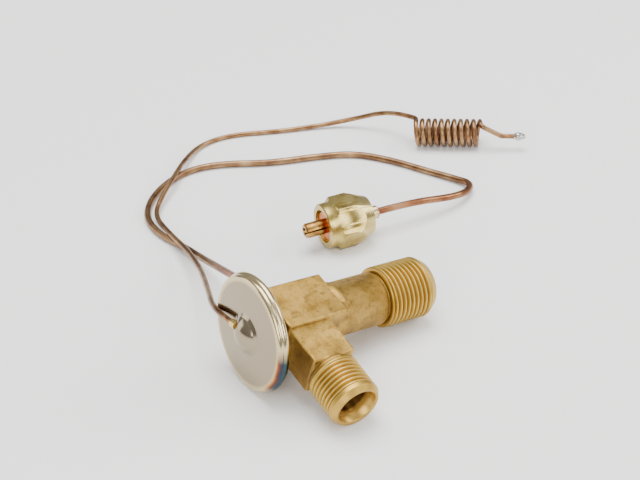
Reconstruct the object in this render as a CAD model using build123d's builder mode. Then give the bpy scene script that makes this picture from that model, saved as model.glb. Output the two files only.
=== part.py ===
from build123d import *
import os
from math import asin, atan2, cos, hypot, pi, radians, sin, sqrt, tan

# Thermostatic expansion valve, angle pattern, flare connections.
# Every length is in millimetres. The row frame stands on the floor, +Z up.
# The valve's own axes: x runs along the outlet from the diaphragm to the
# outlet mouth, -y runs out of the inlet branch, z completes them.

# ---------------------------------------------------------------- outlet end
outlet_r = 19.05 / 2            # 3/4-16 UNF flare thread, major radius
outlet_core_r = 8.6             # thread core
outlet_pitch = 25.4 / 16
outlet_end = 48.1               # mouth, measured from the inlet axis
outlet_start = 30.6             # where the threaded collar starts
outlet_land = 0.35              # smooth band between the thread and the nose
outlet_taper = 2.5              # length of the tapered nose
outlet_nose_r = 7.9             # radius of the nose at the mouth
neck_r = 8.28
boss_r, boss_length = 8.55, 2.0  # ring where the neck leaves the block
relief_r, relief_w = 7.7, 0.9   # undercut between the neck and the collar
thread_flat = 0.35              # crest of both threads
outlet_bore_r = 5.9
screw_bore_r = 5.55            # threaded stretch that the adjuster turns in
screw_bore_end = 31.0

# -------------------------------------------------------------- inlet branch
inlet_r = 15.875 / 2            # 5/8-18 UNF flare thread, major radius
inlet_core_r = 7.2
inlet_pitch = 25.4 / 18
inlet_land = 1.4
inlet_end = 36.1
inlet_taper = 1.5
inlet_nose_r = 6.9
inlet_block_end = 21.2
inlet_block_low, inlet_block_high = -6.8, 7.3
inlet_block_half = 6.4          # half its height
recess_r = 5.95                 # counterbored mouth
recess_depth = 3.2
inlet_bore_r = 4.4
strainer_shelf = 25.0           # the strainer's rim sits on it
strainer_rim_r = 4.0
strainer_rim_t = 0.9
inlet_way_r = 3.5               # the bore behind the strainer's rim
strainer_end = 6.0              # its closed end, from the outlet axis
strainer_t = 0.3
strainer_end_r, strainer_mouth_r = 2.5, 3.2

# ---------------------------------------------------------------- main block
block_low, block_high = -7.75, 13.0
block_half_y = 8.45
block_half_z = 8.2
block_edge = 0.8                # rounding of the forging
spigot_r = 7.5
spigot_end = -10.9
chamber_r = 3.2                 # high pressure chamber round the inlet axis
chamber_low, chamber_high = -3.2, 4.2

# ------------------------------------------------------------- power element
cover_r = 17.45                 # both covers' flanges
rim_x = -13.1                   # middle of the welded rim
rim_half = 1.0
rim_rise = 0.5                  # how far the weld stands proud
diaphragm_t = 0.2
sheet_t = 0.9                   # upper cover's sheet
cover_lip = 0.3                 # both covers clamp the diaphragm outside this step
dome_base_r = 5.9
dome_height = 2.9
face_x = -15.8                  # face of the upper cover at the dome
shoulder_x = -15.35
shoulder_in = 1.35              # the shoulder lies this far inside the flange
shoulder_r = cover_r - shoulder_in
hub_r = 10.2                    # seat of the lower cover on the body
hub_t = 1.85
hub_bevel = 0.4
cone_in = 2.25                  # the lower cover's cone starts this far inside the flange
cone_t = 0.8
pad_r = 8.5
pad_t = 1.1
pad_gap = 0.5                   # room round the pad
pad_room_r = pad_r + pad_gap

# --------------------------------------------------------- inner running gear
stroke = 0.8                    # travel of the push rod
rod_r = 1.2
rod_tip_r = 0.75
running_gap = 0.05
gland_r = 3.2
gland_depth = 2.9
seal_section_r = 0.9
seat_r = 4.0
seat_low, seat_high = 4.2, 8.2
port_r = 1.15
ball_r = 3.97 / 2
carrier_r = 4.2
carrier_t = 1.6
carrier_peg_r = 1.9
carrier_peg = 2.2
spring_wire_r = 0.4
spring_r = 2.9
spring_turns = 6
adjuster_r = 5.5
adjuster_low, adjuster_high = 26.0, 30.0
adjuster_key = 5.0              # hexagon socket, across flats
flow_hole_r = 0.8
flow_circle_r = 4.1

# ------------------------------------------------------------ tubes and coil
capillary_d = 1.8
equaliser_d = 2.4
coil_turns = 10
coil_pitch = 2.38
coil_r = 4.4                    # centreline radius
tip_d = 3.1
collar_r = 1.3                  # braze ring round the capillary at the dome
socket_r = 2.3                  # socket brazed into the block's back face
socket_x = -4.2                 # where it stands along the outlet axis
socket_sink, socket_stand = 3.0, 2.6

# ------------------------------------------------------- equaliser flare nut
nut_flats = 15.875              # 5/8 inch hexagon
nut_length = 16.6
nut_collar = 3.5
nut_collar_r = 7.7
nut_mouth_r = 5.7
nut_mouth = 1.6
nut_thread_r = 4.9              # 7/16-20 UNF, minor radius
nut_thread_end = 10.9           # measured from the nut's mouth
nut_gap = 0.12
tail_r = 2.3
tail_flange_r = 4.75
stub_r = 2.55
stub_out = 6.6                  # how far the stub stands out of the nut
stub_sink = 0.8                 # flange face behind the nut's mouth
stub_bore_r = 1.15
seam_w = 0.6                    # open seam of the rolled stub
seam_drop = 0.5                 # the seam lies this far under the middle
seam_floor = 0.6                # and ends this far from the axis
depressor_t = 1.3               # flange of the stub
tail_flange_t = 2.4
tail_bore_r = 1.0
shank_length = 27.0             # from the stub's tip to the end of the shank

os.makedirs("parts", exist_ok=True)

# ----------------------------------------------------------- resting attitude
# The valve lies on three points: the lowest point of its rim, the lower side
# of the outlet thread and the lower side of the inlet thread.
rim_edge_r = (rim_half ** 2 + rim_rise ** 2) / (2 * rim_rise)
rim_centre_r = cover_r + rim_rise - rim_edge_r
outlet_touch = outlet_end - outlet_taper
inlet_touch = inlet_end - inlet_taper
outlet_wall = outlet_start + thread_flat    # the threads' first full crests
inlet_wall = inlet_block_end + 2.0
reach = outlet_touch - rim_x
drop = rim_centre_r - outlet_r
pitch = atan2(drop, reach) + asin(rim_edge_r / hypot(reach, drop))
axis_height = rim_centre_r * cos(pitch) + rim_edge_r + rim_x * sin(pitch)
droop = asin(axis_height / hypot(inlet_touch, inlet_r)) - atan2(inlet_r, inlet_touch)
roll = asin(sin(droop) / cos(pitch))

axis_x = Vector(cos(pitch), 0, -sin(pitch))
axis_y = Vector(sin(roll) * sin(pitch), cos(roll), sin(roll) * cos(pitch))
axis_z = axis_x.cross(axis_y)

# The row origin is under the middle of the valve without its tubes.
dome_r = (dome_base_r ** 2 + dome_height ** 2) / (2 * dome_height)
dome_centre_x = face_x - dome_height + dome_r
low_x = dome_centre_x * cos(pitch) - dome_r
high_x = outlet_end * cos(pitch) + outlet_nose_r * sin(pitch)
low_y = -inlet_end * axis_y.Y - inlet_nose_r * sqrt(1 - axis_y.Y ** 2)
high_y = cover_r + rim_rise
centre = Vector((low_x + high_x) / 2, (low_y + high_y) / 2, 0)
origin = Vector(0, 0, axis_height) - centre

valve = Plane(origin=origin, x_dir=axis_x, z_dir=axis_z)
along = Plane(origin=origin, x_dir=axis_x, z_dir=-axis_y)      # local y is valve z
branch = Plane(origin=origin, x_dir=-axis_y, z_dir=-axis_x)    # local x is valve -y
outlet_axis = Axis(origin, axis_x)
inlet_axis = Axis(origin, -axis_y)


def at(x, y, z):
    """A point given in the valve's own axes."""
    return origin + axis_x * x + axis_y * y + axis_z * z


def floor_point(x, y, z):
    """A point given from the foot of the valve's origin, on the floor."""
    return Vector(x, y, z) - centre


def turned(profile_plane, turn_axis, points, mode=Mode.ADD):
    """Revolves a closed outline of (length, radius) points inside a part."""
    with BuildSketch(profile_plane) as outline:
        with BuildLine():
            Polyline(*points, close=True)
        make_face()
    revolve(outline.sketch, axis=turn_axis, mode=mode)


def thread(start, end, crest, core, pitch_length):
    """Outline of a thread drawn as rings, whose last groove stops at the end."""
    groove = pitch_length - thread_flat
    points = []
    for ring in reversed(range(int((end - start) / pitch_length))):
        stop = end - ring * pitch_length
        points += [(stop - groove, crest), (stop - groove / 2, core), (stop, crest)]
    return points


def keep(part, name):
    part.part.label = name
    export_step(part.part, f"parts/{name}.step")
    print(name, "volume", round(part.part.volume, 2))


# ------------------------------------------------------------------ the body
with BuildPart() as valve_body:
    with BuildSketch(valve.offset(-block_half_z)):
        with Locations(((block_low + block_high) / 2, 0)):
            Rectangle(block_high - block_low, 2 * block_half_y)
    extrude(amount=2 * block_half_z)
    fillet(valve_body.edges(), radius=block_edge)
    with BuildSketch(valve.offset(-inlet_block_half)):
        with Locations(((inlet_block_low + inlet_block_high) / 2, -(inlet_block_end + 4) / 2)):
            Rectangle(inlet_block_high - inlet_block_low, inlet_block_end - 4)
    extrude(amount=2 * inlet_block_half)
    outer = valve_body.edges().filter_by(
        lambda e: valve.to_local_coords(e.center()).Y < -block_half_y - 1
    )
    fillet(outer, radius=block_edge)
    turned(along, outlet_axis, [
        (block_low + 2, 0), (block_low + 2, neck_r - 1.5), (block_high - 1.6, neck_r - 0.6),
        (block_high, boss_r), (block_high + boss_length - 0.3, boss_r),
        (block_high + boss_length, neck_r), (outlet_start - relief_w - 0.3, neck_r),
        (outlet_start - relief_w, neck_r - 0.3), (outlet_start - relief_w, relief_r),
        (outlet_start, relief_r), (outlet_start, outlet_r - thread_flat),
        (outlet_wall, outlet_r),
        *thread(outlet_wall, outlet_touch - outlet_land, outlet_r, outlet_core_r, outlet_pitch),
        (outlet_touch, outlet_r), (outlet_end, outlet_nose_r), (outlet_end, 0),
    ])
    turned(along, outlet_axis, [
        (spigot_end, 0), (spigot_end, spigot_r - 0.4), (spigot_end + 0.4, spigot_r),
        (block_low + 1, spigot_r), (block_low + 1, 0),
    ])
    turned(branch, inlet_axis, [
        (inlet_block_end - 3, 0), (inlet_block_end - 3, inlet_block_half - 0.5),
        (inlet_block_end, inlet_block_half + 0.3), (inlet_block_end + 0.9, inlet_core_r + 0.1),
        (inlet_block_end + 1.4, inlet_core_r + 0.1), (inlet_wall, inlet_r),
        *thread(inlet_wall, inlet_touch - inlet_land, inlet_r, inlet_core_r, inlet_pitch),
        (inlet_touch, inlet_r), (inlet_end, inlet_nose_r), (inlet_end, 0),
    ])
    # stepped way through the body, from the push rod's gland to the outlet
    turned(along, outlet_axis, [
        (spigot_end - 1, 0), (spigot_end - 1, gland_r), (spigot_end + gland_depth, gland_r),
        (spigot_end + gland_depth, rod_r + running_gap), (chamber_low, rod_r + running_gap),
        (chamber_low, chamber_r), (seat_low, chamber_r), (seat_low, seat_r),
        (seat_high + 0.6, seat_r), (seat_high + 0.6, screw_bore_r), (screw_bore_end, screw_bore_r),
        (screw_bore_end, outlet_bore_r), (outlet_end - 1.0, outlet_bore_r),
        (outlet_end, outlet_bore_r + 1.0), (outlet_end + 1, outlet_bore_r + 1.0), (outlet_end + 1, 0),
    ], Mode.SUBTRACT)
    # inlet way, strainer shelf and counterbored mouth
    turned(branch, inlet_axis, [
        (0, 0), (0, chamber_r - 0.4), (chamber_r + 1, chamber_r - 0.4), (chamber_r + 1, inlet_way_r),
        (strainer_shelf, inlet_way_r), (strainer_shelf, strainer_rim_r),
        (strainer_shelf + strainer_rim_t, strainer_rim_r), (strainer_shelf + strainer_rim_t, inlet_bore_r),
        (inlet_end - recess_depth, inlet_bore_r), (inlet_end - recess_depth + 0.6, recess_r),
        (inlet_end - 0.4, recess_r), (inlet_end + 0.2, recess_r + 0.6), (inlet_end + 1, recess_r + 0.6),
        (inlet_end + 1, 0),
    ], Mode.SUBTRACT)
    # socket hole for the equaliser, through the back face into the rod's gland room
    with BuildSketch(Plane(origin=at(socket_x, block_half_y + 1, 0), x_dir=axis_x, z_dir=-axis_y)):
        Circle(socket_r)
    extrude(amount=1 + socket_sink, mode=Mode.SUBTRACT)
keep(valve_body, "valve_body")

# ------------------------------------------------------------- power element
capillary_way = (axis_y * 0.934 - axis_z * 0.357 - axis_x * 0.02).normalized()
capillary_root = at(-17.5, 3.48, 1.23)
collar_plane = Plane(origin=capillary_root - capillary_way * 0.6, z_dir=capillary_way)
collar_length = 2.5

with BuildPart() as upper_cover:
    with BuildSketch(along) as cover_outline:
        with BuildLine():
            inner_dome = dome_r - sheet_t
            dome_top = dome_centre_x - dome_r
            outer_low = (rim_x - rim_half, cover_r)
            l1 = Line((rim_x - diaphragm_t / 2, cover_r), outer_low)
            l2 = TangentArc(outer_low, (shoulder_x, shoulder_r), tangent=(-1, 0.12))
            foot = (face_x, dome_base_r + 0.5)
            l3 = Line((shoulder_x, shoulder_r), foot)
            spot = radians(46)
            rise = (dome_centre_x - dome_r * cos(spot), dome_r * sin(spot))
            l4 = Line(foot, rise)
            mid = (dome_centre_x - dome_r * cos(spot / 2), dome_r * sin(spot / 2))
            l5 = ThreePointArc(rise, mid, (dome_top, 0))
            l6 = Line((dome_top, 0), (dome_top + sheet_t, 0))
            in_rise = (dome_centre_x - inner_dome * cos(spot), inner_dome * sin(spot))
            in_mid = (dome_centre_x - inner_dome * cos(spot / 2), inner_dome * sin(spot / 2))
            l7 = ThreePointArc((dome_top + sheet_t, 0), in_mid, in_rise)
            l8 = Line(in_rise, (face_x + sheet_t, dome_base_r))
            corner_in = (shoulder_x + sheet_t, shoulder_r - 2 * cover_lip)
            lip_in = (rim_x - diaphragm_t / 2, shoulder_r - cover_lip)
            l9 = Line((face_x + sheet_t, dome_base_r), corner_in)
            l10 = Line(corner_in, lip_in)
            l11 = Line(lip_in, (rim_x - diaphragm_t / 2, cover_r))
        make_face()
    revolve(axis=outlet_axis)
    with BuildSketch(collar_plane):
        Circle(collar_r)
    extrude(amount=collar_length, mode=Mode.SUBTRACT)
keep(upper_cover, "upper_cover")

with BuildPart() as capillary_collar:
    with BuildSketch(collar_plane):
        Circle(collar_r)
    extrude(amount=collar_length)
    chamfer(capillary_collar.faces().sort_by(Axis(capillary_root, capillary_way))[-1].edges(), 0.3)
keep(capillary_collar, "capillary_collar")

with BuildPart() as diaphragm:
    with BuildSketch(Plane(origin=at(rim_x - diaphragm_t / 2, 0, 0), x_dir=axis_y, z_dir=axis_x)):
        Circle(cover_r)
    extrude(amount=diaphragm_t)
keep(diaphragm, "diaphragm")

with BuildPart() as lower_cover:
    low = rim_x + diaphragm_t / 2
    hub_low = block_low - hub_t
    turned(along, outlet_axis, [
        (low, shoulder_r - cover_lip), (low, cover_r), (rim_x + rim_half, cover_r),
        (rim_x + rim_half, cover_r - cone_in), (hub_low - 0.3, hub_r + 0.6), (hub_low, hub_r),
        (block_low - hub_bevel, hub_r), (block_low, hub_r - hub_bevel), (block_low, spigot_r),
        (spigot_end, spigot_r), (spigot_end, pad_room_r), (low + pad_t - 0.1, pad_room_r),
        (low + pad_gap - 0.1, cover_r - cone_in - cone_t),
    ])
keep(lower_cover, "lower_cover")

with BuildPart() as rim_weld:
    with BuildSketch(along):
        with BuildLine():
            Line((rim_x - rim_half, cover_r), (rim_x + rim_half, cover_r))
            ThreePointArc((rim_x + rim_half, cover_r), (rim_x, cover_r + rim_rise),
                          (rim_x - rim_half, cover_r))
        make_face()
    revolve(axis=outlet_axis)
keep(rim_weld, "rim_weld")

# --------------------------------------------------------------- running gear
pad_low = rim_x + diaphragm_t / 2
seat_touch = sqrt(ball_r ** 2 - port_r ** 2)
ball_x = seat_high + seat_touch + 0.03
rod_end = ball_x - ball_r

with BuildPart() as thrust_pad:
    turned(along, outlet_axis, [
        (pad_low, 0), (pad_low, pad_r - 0.5), (pad_low + 0.4, pad_r), (pad_low + pad_t, pad_r),
        (pad_low + pad_t, 0),
    ])
keep(thrust_pad, "thrust_pad")

with BuildPart() as push_rod:
    turned(along, outlet_axis, [
        (pad_low + pad_t, 0), (pad_low + pad_t, rod_r), (chamber_low + 2, rod_r),
        (chamber_low + 3, rod_tip_r), (rod_end, rod_tip_r), (rod_end, 0),
    ])
keep(push_rod, "push_rod")

with BuildPart() as rod_seal:
    with BuildSketch(along):
        with Locations((spigot_end + gland_depth - seal_section_r, rod_r + 0.03 + seal_section_r)):
            Circle(seal_section_r)
    revolve(axis=outlet_axis)
keep(rod_seal, "rod_seal")

with BuildPart() as seal_retainer:
    turned(along, outlet_axis, [
        (spigot_end, rod_r + running_gap), (spigot_end, gland_r),
        (spigot_end + gland_depth - 2 * seal_section_r, gland_r),
        (spigot_end + gland_depth - 2 * seal_section_r, rod_r + running_gap),
    ])
keep(seal_retainer, "seal_retainer")

with BuildPart() as orifice_seat:
    turned(along, outlet_axis, [
        (seat_low, port_r), (seat_low, seat_r), (seat_high, seat_r), (seat_high, port_r),
    ])
keep(orifice_seat, "orifice_seat")

with BuildPart() as ball:
    with BuildSketch(along):
        with BuildLine():
            Line((ball_x - ball_r, 0), (ball_x + ball_r, 0))
            ThreePointArc((ball_x + ball_r, 0), (ball_x, ball_r), (ball_x - ball_r, 0))
        make_face()
    revolve(axis=outlet_axis)
keep(ball, "ball")

cup_rim = 0.75
carrier_x = ball_x + ball_r * cos(radians(45)) - cup_rim
cup_r = ball_r + 0.365
cup_bottom = ball_x + ball_r + 0.02
carrier_back = carrier_x + cup_rim + carrier_t
with BuildPart() as ball_carrier:
    turned(along, outlet_axis, [
        (carrier_x, cup_r + 0.02), (carrier_x, cup_r + 0.8), (carrier_x + cup_rim, carrier_r - 0.4),
        (carrier_x + 1.1, carrier_r), (carrier_back, carrier_r), (carrier_back, carrier_peg_r),
        (carrier_back + carrier_peg - 0.4, carrier_peg_r),
        (carrier_back + carrier_peg, carrier_peg_r - 0.4),
        (carrier_back + carrier_peg, 0), (cup_bottom, 0), (cup_bottom, 0.9),
    ])
keep(ball_carrier, "ball_carrier")


def half_turns(first, lengthwise, side, up, pitch_length, radius, turns):
    """Tilted half circles that join smoothly at the top and at the bottom."""
    slant = hypot(radius, pitch_length / 4)
    for step in range(2 * turns):
        start = first + lengthwise * (pitch_length * step / 2)
        high = up * (radius if step % 2 == 0 else -radius)
        over = side * (slant if step % 2 == 0 else -slant)
        ThreePointArc(
            start + high,
            start + lengthwise * (pitch_length / 4) + over,
            start + lengthwise * (pitch_length / 2) - high,
        )


spring_low = carrier_back + spring_wire_r + 0.05
spring_high = adjuster_low - spring_wire_r - 0.05
with BuildPart() as spring:
    with BuildLine() as spring_path:
        half_turns(at(spring_low, 0, 0), axis_x, axis_y, axis_z,
                   (spring_high - spring_low) / spring_turns, spring_r, spring_turns)
    with BuildSketch(Plane(origin=spring_path.line @ 0, z_dir=spring_path.line % 0)):
        Circle(spring_wire_r)
    sweep(path=spring_path.line, transition=Transition.RIGHT)
keep(spring, "spring")

with BuildPart() as adjuster:
    with BuildSketch(Plane(origin=at(adjuster_low, 0, 0), x_dir=axis_y, z_dir=axis_x)):
        Circle(adjuster_r)
        RegularPolygon(adjuster_key / 2, 6, major_radius=False, mode=Mode.SUBTRACT)
        with PolarLocations(flow_circle_r, 6):
            Circle(flow_hole_r, mode=Mode.SUBTRACT)
    extrude(amount=adjuster_high - adjuster_low)
keep(adjuster, "adjuster")

with BuildPart() as inlet_strainer:
    turned(branch, inlet_axis, [
        (strainer_end, 0), (strainer_end, strainer_end_r), (strainer_shelf, strainer_mouth_r),
        (strainer_shelf, strainer_rim_r), (strainer_shelf + strainer_rim_t, strainer_rim_r),
        (strainer_shelf + strainer_rim_t, strainer_mouth_r - strainer_t),
        (strainer_end + strainer_t, strainer_end_r - strainer_t), (strainer_end + strainer_t, 0),
    ])
keep(inlet_strainer, "inlet_strainer")

# ------------------------------------------------------------------- tubes
def tube_radii(points):
    """Each corner's radius from its shorter run and its turn."""
    radii = []
    for before, here, after in zip(points, points[1:], points[2:]):
        turn = radians((here - before).get_angle(after - here))
        run = min((here - before).length, (after - here).length)
        radii.append(0.45 * run / tan(turn / 2))
    return radii


def print_length(name, line, part, diameter):
    length = sum(edge.length for edge in line.edges())
    print(name, "length", round(length, 1), "volume", round(part.volume, 2),
          "section x length", round(pi * diameter ** 2 / 4 * length, 2))


def print_corners(name, points, radii):
    print(name, "runs", [round((b - a).length, 1) for a, b in zip(points, points[1:])])
    print(name, "radii", [round(r, 1) for r in radii])


coil_along = Vector(0.772, -0.636, 0).normalized()
coil_side = Vector(-coil_along.Y, coil_along.X, 0) * -1
up = Vector(0, 0, 1)
coil_start = floor_point(110.1, 84.6, coil_r + capillary_d / 2)
coil_top = coil_start + up * coil_r
lead_corner = coil_top - coil_side * 2.6
lead_way = Vector(0.267, -0.964, 0.06).normalized()
lead_start = lead_corner - lead_way * 3.0

capillary_exit = collar_plane.origin + capillary_way * collar_length
capillary_points = [
    capillary_exit,
    capillary_exit + capillary_way * 10.0,
    floor_point(-10.2, 31.5, 13.6),
    floor_point(-2.7, 49.5, 8.1),
    floor_point(1.4, 65.6, 5.4),
    floor_point(2.8, 81.0, 3.5),
    floor_point(5.4, 97.6, 1.6),
    floor_point(13.2, 105.3, 3.3),
    floor_point(22.6, 113.2, 4.4),
    floor_point(33.2, 124.2, 2.6),
    floor_point(44.6, 132.6, 0.92),
    floor_point(57.5, 132.2, 0.92),
    floor_point(73.0, 123.6, 0.92),
    floor_point(88.5, 117.0, 1.2),
    floor_point(99.6, 110.6, 3.2),
    lead_start - lead_way * 9.5,
    lead_start,
]
capillary_radii = tube_radii(capillary_points)
with BuildPart() as capillary_tube:
    with BuildLine() as capillary_path:
        FilletPolyline(*capillary_points, radius=capillary_radii)
    with BuildSketch(Plane(origin=capillary_path.line @ 0, z_dir=capillary_path.line % 0)):
        Circle(capillary_d / 2)
    sweep(path=capillary_path.line)
keep(capillary_tube, "capillary_tube")
print_corners("capillary", capillary_points, capillary_radii)
print_length("capillary", capillary_path.line, capillary_tube.part, capillary_d)

coil_last = coil_top + coil_along * (coil_pitch * coil_turns)
tail_corner = coil_last + coil_side * 2.4
tail_knee = tail_corner + coil_along * 8.0 - up * 4.2
tail_end = tail_knee + coil_along * 4.6
with BuildPart() as sensing_coil:
    with BuildLine() as coil_path:
        FilletPolyline(lead_start, lead_corner, coil_top, radius=2.2)
        half_turns(coil_start, coil_along, coil_side, up, coil_pitch, coil_r, coil_turns)
        FilletPolyline(coil_last, tail_corner, tail_knee, tail_end, radius=2.2)
    with BuildSketch(Plane(origin=coil_path.line @ 0, z_dir=coil_path.line % 0)):
        Circle(capillary_d / 2)
    sweep(path=coil_path.line)
keep(sensing_coil, "sensing_coil")
print_length("coil", coil_path.line, sensing_coil.part, capillary_d)

tip_plane = Plane(origin=tail_end, x_dir=coil_along, z_dir=coil_side * -1)
with BuildPart() as coil_tip:
    with BuildSketch(tip_plane):
        with BuildLine():
            Line((0, 0), (0, capillary_d / 2 + 0.1))
            Spline((0, capillary_d / 2 + 0.1), (1.6, tip_d / 2), (3.4, tip_d / 2 - 0.5), (4.3, 0),
                   tangents=((1, 0.4), (0, -1)))
            Line((4.3, 0), (0, 0))
        make_face()
    revolve(axis=Axis(tail_end, coil_along))
keep(coil_tip, "coil_tip")

# -------------------------------------------------- equaliser and its flare nut
socket_plane = Plane(origin=at(socket_x, block_half_y - socket_sink, 0), x_dir=axis_x, z_dir=axis_y)
socket_length = socket_sink + socket_stand
with BuildPart() as equaliser_socket:
    with BuildSketch(socket_plane):
        Circle(socket_r)
    extrude(amount=socket_length)
    chamfer(equaliser_socket.faces().sort_by(Axis(origin, axis_y))[-1].edges(), 0.6)
keep(equaliser_socket, "equaliser_socket")

nut_height = nut_flats / 2
stub_tip = floor_point(36.6, 48.9, nut_height)
shank_way = Vector(0.986, -0.166, 0).normalized()
shank_end = stub_tip + shank_way * shank_length
socket_mouth = socket_plane.origin + axis_y * socket_length
equaliser_points = [
    socket_mouth,
    socket_mouth + axis_y * 7.0,
    floor_point(-0.6, 32.0, 14.6),
    floor_point(2.2, 47.0, 8.6),
    floor_point(4.0, 61.5, 3.7),
    floor_point(4.2, 74.0, 1.35),
    floor_point(1.2, 86.5, 1.22),
    floor_point(2.6, 98.5, 1.22),
    floor_point(9.6, 108.2, 1.22),
    floor_point(19.6, 115.0, 1.22),
    floor_point(31.6, 118.2, 1.22),
    floor_point(43.4, 114.6, 1.22),
    floor_point(57.5, 104.4, 1.22),
    floor_point(74.2, 97.8, 1.22),
    floor_point(86.6, 91.2, 1.22),
    floor_point(94.6, 78.6, 1.22),
    floor_point(100.2, 64.6, 1.22),
    floor_point(104.4, 54.6, 1.4),
    floor_point(106.6, 47.6, 1.9),
    floor_point(101.4, 42.6, 2.8),
    floor_point(92.0, 40.6, 4.8),
    shank_end + shank_way * 13.0,
    shank_end,
]
equaliser_radii = tube_radii(equaliser_points)
with BuildPart() as equaliser_tube:
    with BuildLine() as equaliser_path:
        FilletPolyline(*equaliser_points, radius=equaliser_radii)
    with BuildSketch(Plane(origin=equaliser_path.line @ 0, z_dir=equaliser_path.line % 0)):
        Circle(equaliser_d / 2)
    sweep(path=equaliser_path.line)
keep(equaliser_tube, "equaliser_tube")
print_corners("equaliser", equaliser_points, equaliser_radii)
print_length("equaliser", equaliser_path.line, equaliser_tube.part, equaliser_d)

shank = Plane(origin=stub_tip, x_dir=shank_way, z_dir=Vector(shank_way.Y, -shank_way.X, 0))
shank_axis = Axis(stub_tip, shank_way)
flange_face = stub_out + stub_sink
with BuildPart() as core_depressor:
    turned(shank, shank_axis, [
        (0, 0), (0, stub_r - 0.5), (0.5, stub_r), (flange_face, stub_r), (flange_face, tail_flange_r),
        (flange_face + depressor_t, tail_flange_r), (flange_face + depressor_t, 0),
    ])
    with BuildSketch(Plane(origin=stub_tip, x_dir=up, z_dir=shank_way)):
        RectangleRounded(2 * stub_bore_r, 2 * stub_bore_r, 0.5)
    extrude(amount=flange_face + depressor_t, mode=Mode.SUBTRACT)
    with BuildSketch(Plane(origin=stub_tip, x_dir=up, z_dir=shank_way)):
        with Locations((-seam_drop, stub_r)):
            Rectangle(seam_w, 2 * (stub_r - seam_floor))
    extrude(amount=flange_face, mode=Mode.SUBTRACT)
keep(core_depressor, "core_depressor")

with BuildPart() as tail_piece:
    start = flange_face + depressor_t
    turned(shank, shank_axis, [
        (start, tail_bore_r), (start, tail_flange_r), (start + tail_flange_t, tail_flange_r),
        (start + tail_flange_t + 0.8, tail_r), (shank_length - 0.4, tail_r),
        (shank_length, tail_r - 0.4), (shank_length, tail_bore_r),
    ])
keep(tail_piece, "tail_piece")

nut_mouth_plane = Plane(origin=stub_tip + shank_way * stub_out, x_dir=up, z_dir=shank_way)
with BuildPart() as flare_nut:
    with BuildSketch(nut_mouth_plane.offset(nut_collar)):
        RegularPolygon(nut_flats / 2, 6, major_radius=False, rotation=30)
    extrude(amount=nut_length - nut_collar)
    # both ends of the hexagon are turned to a cone
    corner = nut_flats / sqrt(3)
    with BuildSketch(shank) as cone_outline:
        with BuildLine():
            s0 = stub_out
            Polyline((s0, 0), (s0, nut_collar_r - 0.4), (s0 + 0.4, nut_collar_r),
                     (s0 + nut_collar, nut_collar_r), (s0 + nut_collar + 0.9, corner + 0.2),
                     (s0 + nut_length - 1.4, corner + 0.2),
                     (s0 + nut_length, nut_collar_r - 0.5), (s0 + nut_length, 0), close=True)
        make_face()
    revolve(cone_outline.sketch, axis=shank_axis, mode=Mode.INTERSECT)
    turned(shank, shank_axis, [
        (s0, 0), (s0, nut_collar_r - 0.4), (s0 + 0.4, nut_collar_r), (s0 + nut_collar + 0.3, nut_collar_r),
        (s0 + nut_collar + 0.3, 0),
    ])
    turned(shank, shank_axis, [
        (s0 - 1, 0), (s0 - 1, nut_mouth_r), (s0 + nut_mouth, nut_mouth_r),
        (s0 + nut_mouth + 0.8, nut_thread_r), (s0 + nut_thread_end, nut_thread_r),
        (s0 + nut_thread_end + 2.4, tail_r + nut_gap), (s0 + nut_length + 1, tail_r + nut_gap),
        (s0 + nut_length + 1, 0),
    ], Mode.SUBTRACT)
keep(flare_nut, "flare_nut")

print("pitch", round(pitch * 180 / pi, 3), "roll", round(roll * 180 / pi, 3),
      "axis height", round(axis_height, 3))
print("origin", tuple(round(v, 4) for v in origin), "centre", tuple(round(v, 4) for v in centre))
print("axis_x", tuple(round(v, 5) for v in axis_x), "axis_y", tuple(round(v, 5) for v in axis_y),
      "axis_z", tuple(round(v, 5) for v in axis_z))
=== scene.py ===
import bpy, bmesh, math
from mathutils import Matrix, Vector


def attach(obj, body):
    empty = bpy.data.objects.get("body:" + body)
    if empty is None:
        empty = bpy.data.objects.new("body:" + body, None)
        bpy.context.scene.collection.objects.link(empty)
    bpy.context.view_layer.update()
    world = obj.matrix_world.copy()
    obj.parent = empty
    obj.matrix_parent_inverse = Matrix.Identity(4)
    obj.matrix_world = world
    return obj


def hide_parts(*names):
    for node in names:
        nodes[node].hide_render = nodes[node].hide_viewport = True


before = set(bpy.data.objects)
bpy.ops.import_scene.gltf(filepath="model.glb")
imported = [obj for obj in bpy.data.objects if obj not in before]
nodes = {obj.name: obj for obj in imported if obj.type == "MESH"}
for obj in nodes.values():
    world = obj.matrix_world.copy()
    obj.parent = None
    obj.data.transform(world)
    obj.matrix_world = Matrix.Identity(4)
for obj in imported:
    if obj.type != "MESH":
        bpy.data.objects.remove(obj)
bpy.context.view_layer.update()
print("frame loaded:", len(nodes), "solids")

# The valve's own axes in the row frame: x along the outlet, -y out of the
# inlet branch. Lengths below are in millimetres unless a name says otherwise.
mm = 0.001
upward = Vector((0, 0, 1))
valveAxes = {
    "origin": Vector((-15.0746, 9.3759, 15.9162)) * mm,
    "x": Vector((0.98983, 0.0, -0.14228)),
    "y": Vector((0.03409, 0.97088, 0.23714)),
    "z": Vector((0.13814, -0.23958, 0.961)),
}
# the flare nut's axis runs from the stub's tip back along the shank
shankAxis = {"tip": Vector((21.525, 58.276, 7.9375)) * mm, "way": Vector((0.98612, -0.16602, 0.0))}
tipAlong = shankAxis["tip"].dot(shankAxis["way"])


def axesMatrix(origin, x, y, z):
    matrix = Matrix((x, y, z)).transposed().to_4x4()
    matrix.translation = origin
    return matrix


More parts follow.
